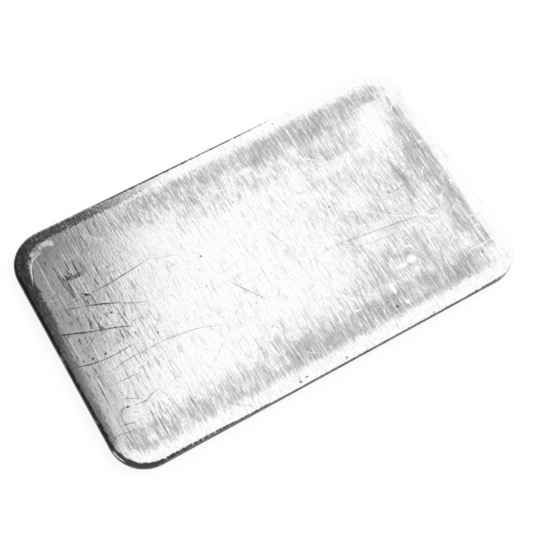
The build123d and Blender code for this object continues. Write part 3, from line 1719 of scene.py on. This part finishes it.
@dataclass(frozen=True)
class Table:
    """The plain pale surface that the bar lies on, shaded where the bar's rim closes down on it.

    Attributes:
        half_size: Half its width.
        drop: How far it lies below the bar.
        paint: The grey that it shows to light.
        lift: How bright it shows by itself.
        contact_reach: How far from the bar the shading reaches.
        contact_shade: How much of the lift is left where the shading is full.
        contact_range: How open the surface is where the shading is full, and where it ends.
    """

    half_size: float = 2.0
    drop: float = 0.01 * MM
    paint: float = 0.16
    lift: float = 0.85
    contact_reach: float = 0.4 * MM
    contact_shade: float = 0.1
    contact_range: Span = (0.6, 1.0)

    def build(self) -> bpy.types.Object:
        """Makes the table's surface.

        Returns:
            Its object, marked as stage.
        """
        mesh = bpy.data.meshes.new("table_surface")
        reach = self.half_size
        corners = [(x * reach, y * reach, -self.drop) for x, y in ((-1, -1), (1, -1), (1, 1), (-1, 1))]
        mesh.from_pydata(corners, [], [(0, 1, 2, 3)])
        mesh.materials.append(self.paint_white())
        table = add_object("table_surface", mesh)
        table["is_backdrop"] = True
        return table

    def paint_white(self) -> bpy.types.Material:
        """Builds the table's material.

        Returns:
            The material.
        """
        material, sheet = new_material("white_table")
        contact = sheet.add("AmbientOcclusion", {"Distance": self.contact_reach}, samples=8)
        openness = Value(sheet, contact.outputs["AO"])
        shaded = openness.ease(*self.contact_range, self.contact_shade * self.lift, self.lift)
        feeds = {"Base Color": grey(self.paint), "Roughness": 1.0, "Specular IOR Level": 0.0}
        feeds |= {"Emission Color": grey(1.0), "Emission Strength": sheet.seen_plainly() * shaded}
        shader = sheet.add("BsdfPrincipled", feeds)
        sheet.add("OutputMaterial", {"Surface": shader.outputs[0]})
        return material


@dataclass(frozen=True)
class SoftLamp:
    """A wide lamp above and to the right, which gives the bar its soft shadow."""

    place: tuple[float, float, float] = (0.35, -0.15, 0.6)
    size: float = 0.5
    power: float = 1.6

    def build(self) -> bpy.types.Object:
        """Makes the lamp, aimed at the bar.

        Returns:
            The lamp's object.
        """
        light = bpy.data.lights.new("soft_lamp", "AREA")
        light.shape = "DISK"
        light.size = self.size
        light.energy = self.power
        lamp = add_object("soft_lamp", light)
        lamp.location = self.place
        lamp.rotation_euler = Vector(self.place).to_track_quat("Z", "Y").to_euler()
        lamp.visible_glossy = False
        return lamp


@dataclass(frozen=True)
class PhotoCamera:
    """The camera where the photograph was taken from, as its outline of the bar gives it."""

    lens: float = 85.332
    place_mm: tuple[float, float, float] = (-33.426, -47.035, 128.404)
    right: tuple[float, float, float] = (0.86314, -0.5033, 0.04108)
    up: tuple[float, float, float] = (0.44621, 0.79825, 0.4046)
    nearest: float = 0.005

    def build(self) -> bpy.types.Object:
        """Makes the camera and sets it as the scene's own.

        Returns:
            The camera's object.
        """
        data = bpy.data.cameras.new("photo_camera")
        data.lens = self.lens
        data.clip_start = self.nearest
        camera = add_object("photo_camera", data)
        right = Vector(self.right).normalized()
        backward = right.cross(Vector(self.up)).normalized()
        up = backward.cross(right)
        turn = Matrix((right, up, backward)).transposed()
        camera.matrix_world = Matrix.Translation(Vector(self.place_mm) * MM) @ turn.to_4x4()
        bpy.context.scene.camera = camera
        return camera


# What this bar's faces went through, with the shade, dark reflection and highlight painted onto them


def top_marks() -> list[Mark]:
    """The scratches, strokes, pits and rubs of the upper face, each drawn in place.

    Returns:
        The marks.
    """
    # Depths of the scratches and strokes
    trace = 0.0004
    faint = 0.0006
    shallow = 0.0008
    scrape = 0.001
    scuff = 0.002
    groove = 0.003
    # Two kinds of scratch that come often
    wide = {"half_width": 0.12, "depth": shallow}
    light = {"half_width": 0.085, "depth": trace}
    scores = [
        Score(((-24.6, 2.85), (-23.6, 2.4), (-21.8, 1.65), (-20.0, 0.95)), 0.15, shallow, 0.95, 0.35),
        Score(((-21.0, 1.35), (-18.0, 0.3), (-16.6, -0.3)), 0.14, shallow, 0.75),
        Score(((-22.4, 4.9), (-20.5, 4.35), (-19.9, 4.15)), 0.1, trace, 0.6),
        Score(((-20.3, 4.3), (-18.3, 3.5), (-16.6, 2.75)), 0.14, shallow, 0.85),
        Score(((-17.0, 2.95), (-15.6, 2.1), (-13.9, 1.4)), 0.14, trace, 0.35),
        Score(((-23.2, 5.2), (-19.9, 5.25), (-17.0, 5.3)), 0.11, trace, 0.5),
        Score(((-18.6, 5.15), (-15.2, 5.4), (-11.6, 5.8)), 0.12, trace, 0.6),
        Score(((-11.4, 5.6), (-8.3, 4.7)), darkness=0.25, **light),
        Score(((-24.6, -1.25), (-22.8, -1.95), (-21.3, -2.2), (-19.4, -2.3)), darkness=0.85, **wide),
        Score(((-20.4, -2.28), (-18.8, -2.2), (-17.4, -2.1)), darkness=0.5, **wide),
        Score(((-21.5, -3.7), (-20.0, -3.6), (-19.3, -3.4), (-17.4, -3.35)), darkness=0.55, **light),
        Score(((-18.4, -3.38), (-14.5, -3.35), (-10.8, -3.9), (-7.6, -5.1)), darkness=0.4, **light),
        Score(((-22.0, -5.1), (-20.4, -5.2), (-18.4, -5.3)), darkness=0.5, **light),
        Score(((-22.05, -5.1), (-22.0, -7.1)), darkness=0.45, **light),
        Score(((-22.2, -0.4), (-21.8, -0.05), (-20.3, 0.95)), darkness=0.6, **light),
        Score(((-23.4, -9.5), (-22.2, -9.65), (-21.2, -9.95)), darkness=0.6, **light),
        Score(((-24.4, -10.15), (-22.9, -10.35), (-21.7, -10.65)), darkness=0.5, **light),
        Score(((-22.5, -9.3), (-22.35, -8.4), (-21.8, -7.8), (-20.8, -8.25)), darkness=0.45, **light),
        Score(((-21.6, -6.95), (-20.9, -7.2), (-19.6, -7.95)), darkness=0.5, **light),
        Score(((-20.9, -8.2), (-19.3, -8.35), (-18.7, -8.0), (-17.2, -7.85)), darkness=0.45, **light),
        Score(((-5.35, -0.55), (-3.9, -2.8), (-2.55, -4.8)), darkness=0.55, **light),
        Score(((6.6, -2.7), (11.0, -3.3), (17.2, -4.2), (19.5, -4.3)), 0.1, trace, 0.38, 0.15),
        Score(((8.2, -4.15), (11.5, -4.5), (14.9, -5.0)), darkness=0.28, **light),
        Score(((9.3, 1.7), (11.2, 0.1), (13.9, -2.1)), 0.13, trace, -1.0),
        Score(((13.6, -1.9), (15.2, -3.1), (16.8, -4.0), (18.2, -4.5)), 0.11, trace, -0.8),
        Score(((16.7, -6.9), (16.65, -8.7)), 0.12, trace, -1.0, 0.2),
        Score(((16.35, -6.0), (16.3, -7.4)), 0.09, trace, -0.8),
        Score(((13.0, -7.1), (14.0, -6.6), (14.45, -6.95), (15.0, -8.1)), 0.09, trace, -0.9),
        Score(((10.2, -6.6), (10.15, -8.4), (10.05, -10.2)), 0.1, trace, -0.9),
        Score(((10.35, -11.2), (10.45, -12.2), (10.9, -13.5)), 0.09, trace, -0.9),
        Score(((9.9, -11.2), (9.95, -13.2)), 0.08, trace, -0.9),
        Score(((22.0, -8.3), (22.75, -8.4)), 0.12, trace, -0.9, 0.2),
        Score(((8.45, -8.4), (8.4, -10.4)), 0.08, trace, -0.8),
        Score(((6.8, -8.7), (6.7, -10.6)), 0.08, trace, -0.8),
        Score(((5.0, -8.5), (4.8, -11.2)), 0.08, trace, -0.8),
        Score(((3.3, -8.1), (3.1, -11.0)), 0.09, trace, -0.9),
        Score(((5.0, -9.5), (4.8, -10.2), (5.3, -10.75), (5.9, -10.5)), 0.08, trace, -0.8),
        Score(((13.1, 8.9), (13.25, 4.9)), 0.1, trace, -0.9),
        Score(((15.95, 10.3), (15.85, 7.5)), 0.11, trace, -0.9),
        Score(((8.9, 8.9), (9.9, 8.2), (11.2, 7.0)), 0.11, trace, -0.9),
        Score(((17.3, 8.8), (17.4, 6.4)), 0.09, trace, -0.8),
        Score(((11.9, 3.6), (12.0, 0.6)), 0.08, trace, -0.8),
        Score(((20.9, 0.6), (20.85, -2.9)), 0.08, trace, -0.8),
        Score(((18.1, -4.3), (18.6, -5.1), (19.4, -5.0)), 0.11, trace, -1.0),
        Score(((17.2, 4.9), (19.2, 4.5), (21.8, 4.1)), darkness=0.3, **light),
        Score(((16.5, -0.35), (18.2, -0.05)), 0.1, trace, 0.45, 0.2),
        Score(((18.1, 3.0), (18.4, 0.4), (18.25, -2.4)), 0.34, trace, 0.16, 0.15),
        Score(((16.55, 0.7), (16.5, -1.8)), 0.16, trace, 0.35, 0.2),
        Score(((17.6, -1.8), (17.65, -2.9)), 0.18, trace, 0.4, 0.2),
        Score(((14.45, -0.9), (14.4, -2.7)), 0.12, trace, 0.3),
        Score(((20.6, -7.6), (22.8, -7.45), (24.0, -7.1)), darkness=0.3, **light),
        Score(((1.2, 3.0), (2.0, 1.4), (2.6, -0.7)), darkness=0.3, **light),
        Score(((2.0, 1.4), (3.3, 2.1)), darkness=0.25, **light),
        Score(((6.4, 1.0), (6.2, -0.5)), darkness=0.35, **light),
        Score(((-6.0, 0.3), (-3.2, 0.8)), darkness=0.22, **light),
        Score(((-23.82, 9.05), (-23.48, 10.0), (-23.17, 10.9), (-22.82, 11.5)), depth=0.03, darkness=-1.0),
        Score(((-23.1, 11.25), (-22.6, 11.75), (-21.9, 12.05), (-21.3, 12.2)), 0.08, 0.004, -0.45),
        Score(((-1.95, 10.05), (-0.95, 9.35), (-0.15, 9.25), (0.8, 8.95)), 0.1, trace, -1.0),
        Score(((-19.6, -11.3), (-18.2, -12.0)), darkness=-0.5, **light),
        Score(((-12.2, -12.7), (-10.8, -13.8), (-9.9, -14.2)), darkness=0.2, **light),
        Score(((22.15, -5.4), (22.2, -8.0), (22.15, -11.2)), 0.11, trace, -0.9),
        Score(((22.6, -4.2), (22.65, -6.5)), 0.14, trace, 0.32),
        Score(((22.65, -9.0), (22.7, -10.3)), 0.16, trace, 0.18),
        Score(((21.5, -0.8), (21.55, -4.4)), 0.08, trace, -0.6),
        Score(((22.05, 3.0), (21.75, 0.4)), 0.06, trace, -0.5),
        Score(((23.15, 10.6), (23.2, 6.0), (23.1, 2.5)), 0.1, trace, -0.9),
        Score(((23.4, 10.9), (23.42, 8.4), (23.4, 5.8)), 0.1, trace, 0.2),
        Score(((22.4, 11.0), (22.3, 9.6), (22.35, 8.0)), 0.19, trace, 0.42, 0.2),
        Score(((22.2, 4.6), (22.1, 3.0), (22.2, 1.0)), 0.2, trace, 0.2),
        Score(((17.0, 10.8), (20.0, 10.75), (23.3, 10.75)), 0.1, trace, -0.9),
        Score(((19.6, -10.5), (21.6, -10.65), (23.0, -10.55)), 0.1, trace, -0.9),
        Score(((15.0, 5.2), (15.05, -0.6)), 0.1, trace, -0.7),
        Score(((16.9, 5.6), (17.05, 2.2)), 0.1, trace, -0.7),
        Score(((18.7, 4.6), (18.75, 0.6)), 0.09, trace, -0.7),
        Score(((15.15, -5.0), (15.2, -8.6)), 0.09, trace, -0.6),
        Score(((16.75, -5.6), (16.7, -9.3)), 0.11, trace, -0.7),
        Score(((17.3, -6.2), (17.35, -8.6)), 0.08, trace, -0.5),
    ]
    scuffs = [
        Score(((-20.95, 7.95), (-20.1, 7.9), (-19.4, 7.8), (-18.5, 7.85)), 0.34, groove, 0.62, 0.1),
        Score(((-20.6, 8.1), (-20.66, 7.1), (-20.6, 5.6)), 0.4, groove, 0.62, 0.15),
        Score(((-20.3, 8.7), (-20.35, 7.4)), 0.14, scuff, 0.8),
        Score(((-19.0, 9.8), (-19.0, 8.6), (-18.95, 7.6)), 0.13, scuff, 0.85, 0.25),
        Score(((-19.65, 10.2), (-19.7, 9.2), (-19.6, 8.4)), 0.13, scuff, 0.75, 0.3),
        Score(((-21.05, 10.2), (-21.0, 8.6), (-21.0, 6.8)), 0.14, scuff, 0.75, 0.25),
        Score(((-19.4, 7.6), (-19.3, 9.0)), 0.1, scuff, 0.5),
        Score(((-18.5, 10.2), (-18.45, 8.4)), 0.1, scrape, 0.4),
        Score(((-19.9, 5.75), (-18.85, 4.95)), 0.17, groove, 0.85, 0.2),
        Score(((-18.95, 5.15), (-18.9, 3.7)), 0.1, scuff, 0.75, 0.3),
        Score(((-17.1, 5.55), (-16.8, 5.1)), 0.14, scrape, 0.45),
        Score(((-22.05, 7.3), (-22.0, 5.0)), 0.08, scrape, 0.7),
        Score(((-21.88, 6.8), (-21.85, 4.5)), 0.08, faint, -0.8),
        Score(((-22.05, 12.2), (-22.0, 9.4)), 0.1, scrape, 0.6),
        Score(((-16.75, 13.0), (-16.8, 11.4), (-16.75, 9.6)), 0.1, scrape, 0.7),
        Score(((-15.7, 13.2), (-15.75, 11.3)), 0.1, scrape, 0.75),
        Score(((-14.75, 13.0), (-14.75, 11.8)), 0.1, scrape, 0.65),
        Score(((-17.0, 9.0), (-17.05, 6.4)), 0.09, scrape, 0.65),
        Score(((-20.5, 3.6), (-20.45, 1.3)), 0.09, scrape, 0.8),
        Score(((-19.85, 3.2), (-19.85, -0.3)), 0.08, scrape, 0.6),
        Score(((-17.25, 2.5), (-17.2, -0.5)), 0.09, scrape, 0.75),
        Score(((-21.7, 1.3), (-21.75, 0.1)), 0.09, scrape, 0.7),
        Score(((-18.5, 12.6), (-18.55, 10.3)), 0.09, scrape, 0.5),
        Score(((-23.52, -0.8), (-23.52, 2.4)), 0.09, scrape, 0.5),
        Score(((-22.85, -3.6), (-22.9, -7.4)), 0.09, scrape, 0.7),
        Score(((-22.65, -3.4), (-22.7, -6.2)), 0.08, scrape, -0.7),
        Score(((-22.35, -2.6), (-22.4, -5.4)), 0.08, scrape, 0.6),
        Score(((-22.45, -7.8), (-22.5, -11.4)), 0.09, scrape, 0.5),
        Score(((-18.9, 0.1), (-18.85, -1.7)), 0.08, scrape, 0.6),
        Score(((-18.2, 0.2), (-18.2, -1.3)), 0.08, scrape, 0.6),
        Score(((-22.95, -7.9), (-22.95, -11.0)), 0.08, scrape, 0.45),
        Score(((-23.35, -7.4), (-23.4, -10.8)), 0.08, faint, -0.6),
        Score(((-19.5, -9.0), (-19.55, -12.2)), 0.09, scrape, 0.55),
        Score(((-19.15, -10.4), (-19.1, -12.6)), 0.09, scrape, 0.6),
        Score(((-19.35, -10.2), (-19.35, -12.4)), 0.07, faint, -0.7),
        Score(((-20.25, -11.4), (-20.3, -13.6)), 0.1, faint, -0.8),
        Score(((-15.45, -10.0), (-15.45, -12.8)), 0.09, faint, -0.7),
        Score(((-15.15, -10.0), (-15.2, -11.8)), 0.1, scrape, 0.4),
        # Painted highlight: the thin bright line where the wall meets the shoulder at the near-left corner.
        Score(((-24.87, -11.3), (-24.7, -12.05), (-24.33, -12.85)), 0.05, scrape, -0.8),
    ]
    spots = ((-14.7, -2.25), (-6.4, 3.3), (9.05, 1.6), (21.1, -11.4), (18.2, -13.2), (-16.0, 7.15))
    pits = [Pit(x, y, 0.14, 1.0, 0.006, 0.9) for x, y in spots]
    pits += [Pit(x, y, 0.19, 1.1, 0.002, 0.95) for x, y in ((-18.0, 2.2), (-22.05, -1.5), (-20.65, -1.7))]
    pits += [Pit(-16.85, -1.2, 0.12, 1.0, 0.002, 0.5), Pit(-20.1, -0.45, 0.14, 1.0, 0.002, 0.5)]
    pits += [Pit(15.95, -0.1, 0.26, 0.8, 0.002, 0.4), Pit(16.0, 0.6, 0.2, 0.8, 0.002, 0.3)]
    pits += [Pit(-21.35, -8.0, 0.24, 0.8, 0.006, 0.8), Pit(-20.9, -8.9, 0.13, 1.0, 0.004, 0.4)]
    pits += [Pit(9.3, -12.3, 0.17, 1.3, 0.025, 0.9), Pit(-4.2, -14.45, 0.2, 0.6, 0.02, 0.9)]
    pits += [Pit(-3.35, -14.3, 0.2, 0.7, 0.02, 0.9), Pit(1.55, -14.5, 0.15, 1.0, 0.02, 0.9)]
    rubs = [
        Pit(-20.5, 12.95, 0.65, 0.6, 0.002, -0.26),
        Pit(-19.95, 12.65, 0.4, 1.3, 0.002, -0.2),
        Pit(-21.2, 12.75, 0.35, 1.2, 0.002, -0.16),
        Pit(-22.35, 12.4, 0.4, 1.0, 0.002, -0.2),
        Pit(-21.8, 12.3, 0.45, 0.8, 0.002, -0.12),
        Pit(-23.0, 11.3, 0.35, 1.6, 0.002, -0.12),
        Pit(13.7, -8.3, 0.7, 0.9, 0.004, -1.3),
        Pit(12.3, -8.5, 1.0, 0.35, 0.002, -0.8),
        Pit(10.0, -10.3, 0.33, 2.6, 0.004, -1.3),
        Pit(10.6, -12.4, 0.35, 0.8, 0.004, -1.1),
        Pit(3.0, 10.1, 1.1, 0.45, 0.004, -0.9),
        Pit(-7.9, 9.6, 0.5, 0.9, 0.004, -0.8),
        Pit(-6.4, 9.6, 0.5, 0.8, 0.004, -0.8),
        Pit(16.2, 6.0, 1.2, 0.4, 0.004, -1.0),
        Pit(18.9, 4.7, 0.22, 1.0, 0.002, -1.0),
        Pit(20.7, 4.85, 0.16, 1.0, 0.002, -1.0),
        Pit(19.85, 3.3, 0.24, 1.0, 0.002, -1.0),
        Pit(18.5, 2.6, 0.2, 1.3, 0.002, -1.0),
        Pit(18.95, 1.5, 0.22, 1.1, 0.002, -1.0),
        Pit(6.1, 9.5, 0.2, 3.2, 0.008, -0.8),
        Pit(3.0, -10.8, 0.35, 0.9, 0.01, -0.8),
        Pit(-7.6, -10.1, 1.0, 0.3, 0.01, -0.8),
        Pit(17.9, -4.2, 0.7, 0.7, 0.01, -0.7),
        Pit(16.2, -4.9, 0.6, 0.6, 0.008, -0.6),
    ]
    return [*scores, *scuffs, *pits, *rubs]


def top_dull_shade_bands() -> list[DullShadeBand]:
    """The dull strips of the upper face, partly tarnish and partly painted reflection shade.

    Returns:
        The strips.
    """
    near = {"outer": 1.5, "outer_fade": 1.3}
    # Painted reflection shade in part: these dull strips stand partly for tarnish and partly for
    # reflections.
    return [
        DullShadeBand(Side.FAR, 0.16, -21.0, -5.0, reach=5.2, fade=5.0, outer=1.0, outer_fade=0.9, end_fade=4.0),
        DullShadeBand(Side.FAR, 0.43, -16.0, 10.0, reach=5.3, fade=5.0, end_fade=7.0),
        DullShadeBand(Side.FAR, 0.5, 0.0, 24.2, reach=5.4, fade=4.5, end_fade=3.5),
        DullShadeBand(Side.FAR, 0.29, -10.0, 20.5, reach=8.0, end_fade=5.0),
        DullShadeBand(Side.NEAR, 0.28, -10.0, 24.0, reach=7.0, fade=4.0, end_fade=5.0),
        DullShadeBand(Side.NEAR, 0.42, -28.0, -2.0, reach=4.6, end_fade=5.0, **near),
        DullShadeBand(Side.NEAR, 0.52, -9.0, 25.0, reach=5.0, end_fade=6.0, **near),
        DullShadeBand(Side.RIGHT, 0.5, -13.0, 11.0, reach=4.6, fade=4.0, outer_fade=0.7),
    ]


def top_patches() -> list[Patch]:
    """The duller and brighter areas of the upper face, with the broad dull one at the left end partly
    painted shade.

    Returns:
        The areas, which add to its dull strips.
    """
    return [
        # Painted shade in part: the broad dull area at the left end stands partly for the darker reflection
        # there.
        Patch(-19.5, 2.5, 8.0, 11.5, 0.25, 0.9),
        Patch(3.0, 0.0, 3.0, 8.0, 0.1, 0.9),
        Patch(13.5, -1.0, 10.0, 11.0, 0.32, 0.7),
        Patch(11.8, 1.0, 2.6, 2.6, -0.18, 0.8),
        Patch(12.0, -7.5, 11.0, 2.4, 0.12, 0.7),
        Patch(11.5, -4.4, 2.6, 2.0, -0.2, 0.8),
        Patch(20.4, 2.6, 0.9, 2.4, 0.2, 0.8),
        Patch(18.6, 8.0, 2.9, 2.8, -0.2, 0.7),
        Patch(18.4, 0.5, 1.0, 3.6, 0.2, 0.6),
        Patch(12.3, 7.6, 3.4, 1.8, 0.1, 0.8),
        Patch(23.6, -8.5, 0.9, 3.9, -0.4, 0.4),
        Patch(20.8, -6.6, 0.9, 2.4, 0.12, 0.7),
        Patch(-23.5, -12.1, 1.5, 1.5, 0.2, 0.9),
        Patch(12.3, 10.4, 3.2, 1.6, 0.18, 0.8),
        Patch(19.9, 9.9, 2.2, 1.5, -0.25, 0.6),
        Patch(7.0, -11.5, 3.2, 2.0, 0.12, 0.8),
        Patch(17.5, -12.2, 2.0, 1.4, 0.15, 0.8),
        Patch(-11.3, 10.6, 2.2, 1.6, 0.14, 0.8),
        Patch(5.0, 10.4, 1.8, 1.6, 0.18, 0.8),
        Patch(-4.3, 9.7, 1.6, 1.6, 0.14, 0.8),
        Patch(20.3, 0.0, 1.2, 1.8, 0.15, 0.8),
        Patch(18.6, -4.9, 1.6, 1.2, 0.12, 0.8),
    ]


def top_scuffs() -> list[Patch]:
    """The areas of the upper face with more dark nicks, or fewer: most are at the left.

    Returns:
        The areas.
    """
    return [
        Patch(-20.5, 2.0, 9.5, 14.0, 0.62, 0.9),
        Patch(-20.2, 7.4, 2.2, 2.6, 0.5, 0.9),
        Patch(-19.5, -10.5, 6.0, 3.6, 0.25, 0.8),
        Patch(4.0, -11.0, 18.0, 3.4, 0.12, 0.8),
        Patch(25.0, 0.0, 2.6, 17.0, -0.15, 0.4),
        Patch(8.0, 15.0, 19.0, 2.0, -0.15, 0.4),
        Patch(-21.5, 12.0, 3.2, 2.4, 0.35, 0.7),
    ]


def top_soil_and_shade() -> SoilAndShade:
    """The dirt and painted shade round the upper face's edge, with the stain of painted dark reflection:
    heavy on the left, thin on the near side, least on the right.

    Returns:
        The dirt and painted shade.
    """
    return SoilAndShade(
        (
            # Dirt and painted shade round the rim, with the stain of painted dark reflection heaviest on the
            # left.
            Station(-25, 11, 0.35, 0.85, 1.5, 0.85),
            Station(-25, 5, 0.42, 0.8, 1.42, 0.65),
            Station(-25, 0, 0.42, 0.76, 1.35, 0.35),
            Station(-25, -4, 0.42, 0.74, 1.2, 0.32),
            Station(-25, -8, 0.48, 0.74, 1.0, 0.45),
            Station(-24.9, -10.5, 0.5, 0.76, 0.95, 0.5),
            Station(-24.4, -12.6, 0.54, 0.86, 0.85, 0.35),
            Station(-23.8, -13.7, 0.47, 0.88, 0.6, 0.2),
            Station(-22.6, -14.5, 0.43, 0.88),
            Station(-21, -14.9, 0.34, 0.82),
            Station(-18, -14.9, 0.32, 0.68),
            Station(-15, -14.9, 0.3, 0.68),
            Station(-12, -14.9, 0.18, 0.66),
            Station(-8, -14.9, 0.12, 0.66),
            Station(-4, -14.9, 0.07, 0.7),
            Station(15, -14.9, 0.06, 0.72),
            Station(19, -14.9, 0.12, 0.7),
            Station(21.5, -14.9, 0.16, 0.5),
            Station(23.8, -13.7, 0.1, 0.3),
            Station(25, 0, 0.08, 0.12),
            Station(23, 14, 0.05, 0.0),
            Station(12, 14.9, 0.1, 0.0),
            Station(8, 14.9, 0.32, 0.5),
            Station(3, 14.9, 0.4, 0.7),
            Station(-3, 14.9, 0.45, 0.74, 0.6, 0.0),
            Station(-7, 14.9, 0.45, 0.74, 1.1, 0.22),
            Station(-12, 14.9, 0.42, 0.72, 1.55, 0.55),
            Station(-16, 14.9, 0.2, 0.75, 1.55, 0.8),
            Station(-21, 14.9, 0.2, 0.8, 1.5, 0.9),
            Station(-23.8, 13.7, 0.25, 0.85, 1.7, 0.9),
        )
    )


def top_wear(shape: BarShape) -> FaceWear:
    """The upper face's wear, as the photograph shows it."""
    return FaceWear(shape, top_marks(), top_dull_shade_bands(), top_patches(), top_scuffs(), top_soil_and_shade(), seed=11)


def underside_wear(shape: BarShape) -> FaceWear:
    """The underside's wear, which the photograph doesn't show: the same kinds, more evenly spread.

    Args:
        shape: The bar's shape.

    Returns:
        The wear.
    """
    bands = [
        DullShadeBand(Side.FAR, 0.55, -23.0, 23.0),
        DullShadeBand(Side.NEAR, 0.6, -23.0, 23.0, reach=6.4),
        DullShadeBand(Side.LEFT, 0.5, -13.0, 13.0),
        DullShadeBand(Side.RIGHT, 0.55, -13.0, 13.0, reach=4.8),
    ]
    patches = [Patch(-9.0, 2.0, 9.0, 7.0, 0.3, 0.9), Patch(10.0, -3.0, 5.0, 6.0, 0.2, 0.9)]
    scuffs = [Patch(0.0, 0.0, 22.0, 13.0, 0.15, 0.5), Patch(12.0, 5.0, 8.0, 6.0, 0.2, 0.9)]
    # Dirt and painted shade round the underside's edge, with the stain of painted dark reflection.
    soiling = SoilAndShade(
        (
            Station(-25, 0, 0.5, 0.8, 1.4, 0.5),
            Station(0, -14.9, 0.35, 0.8, 0.9, 0.3),
            Station(25, 0, 0.4, 0.7, 1.0, 0.3),
            Station(0, 14.9, 0.45, 0.8, 1.2, 0.45),
        )
    )
    return FaceWear(shape, [], bands, patches, scuffs, soiling, seed=23, strokes=260, hairlines=50)


def main() -> None:
    """Builds the bar and its studio, and reports each piece."""
    logging.basicConfig(level=logging.INFO, format="%(name)s: %(message)s")
    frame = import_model()
    cad_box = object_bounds()
    shape = BarShape.from_node("ingot_bar")
    log.info("bar of %.1f x %.1f x %.2f mm", shape.length, shape.width, shape.thickness)

    wear = {Face.TOP: top_wear(shape), Face.UNDERSIDE: underside_wear(shape)}
    bar_maker = IngotBar(shape, wear)
    bar = bar_maker.build()
    effects = Effects()
    bar_maker.dress(bar, [BrushedSilver().make(effects), ShearedEdge().make(effects)])
    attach(bar, "root")
    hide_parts("ingot_bar")
    log.info("%s: %d triangles on %s", bar.name, len(bar.data.polygons), ", ".join(frame["bodies"]))

    Table().build()
    SoftLamp().build()
    Surroundings().build()
    camera = PhotoCamera().build()
    log.info("camera at %s", tuple(round(value, 4) for value in camera.location))
    bpy.context.scene.view_settings.view_transform = "Standard"

    boxes = {"cad": cad_box, "visual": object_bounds()}
    {name: [list(map(float, corner)) for corner in box] for name, box in boxes.items()}


if __name__ == "__main__":
    main()
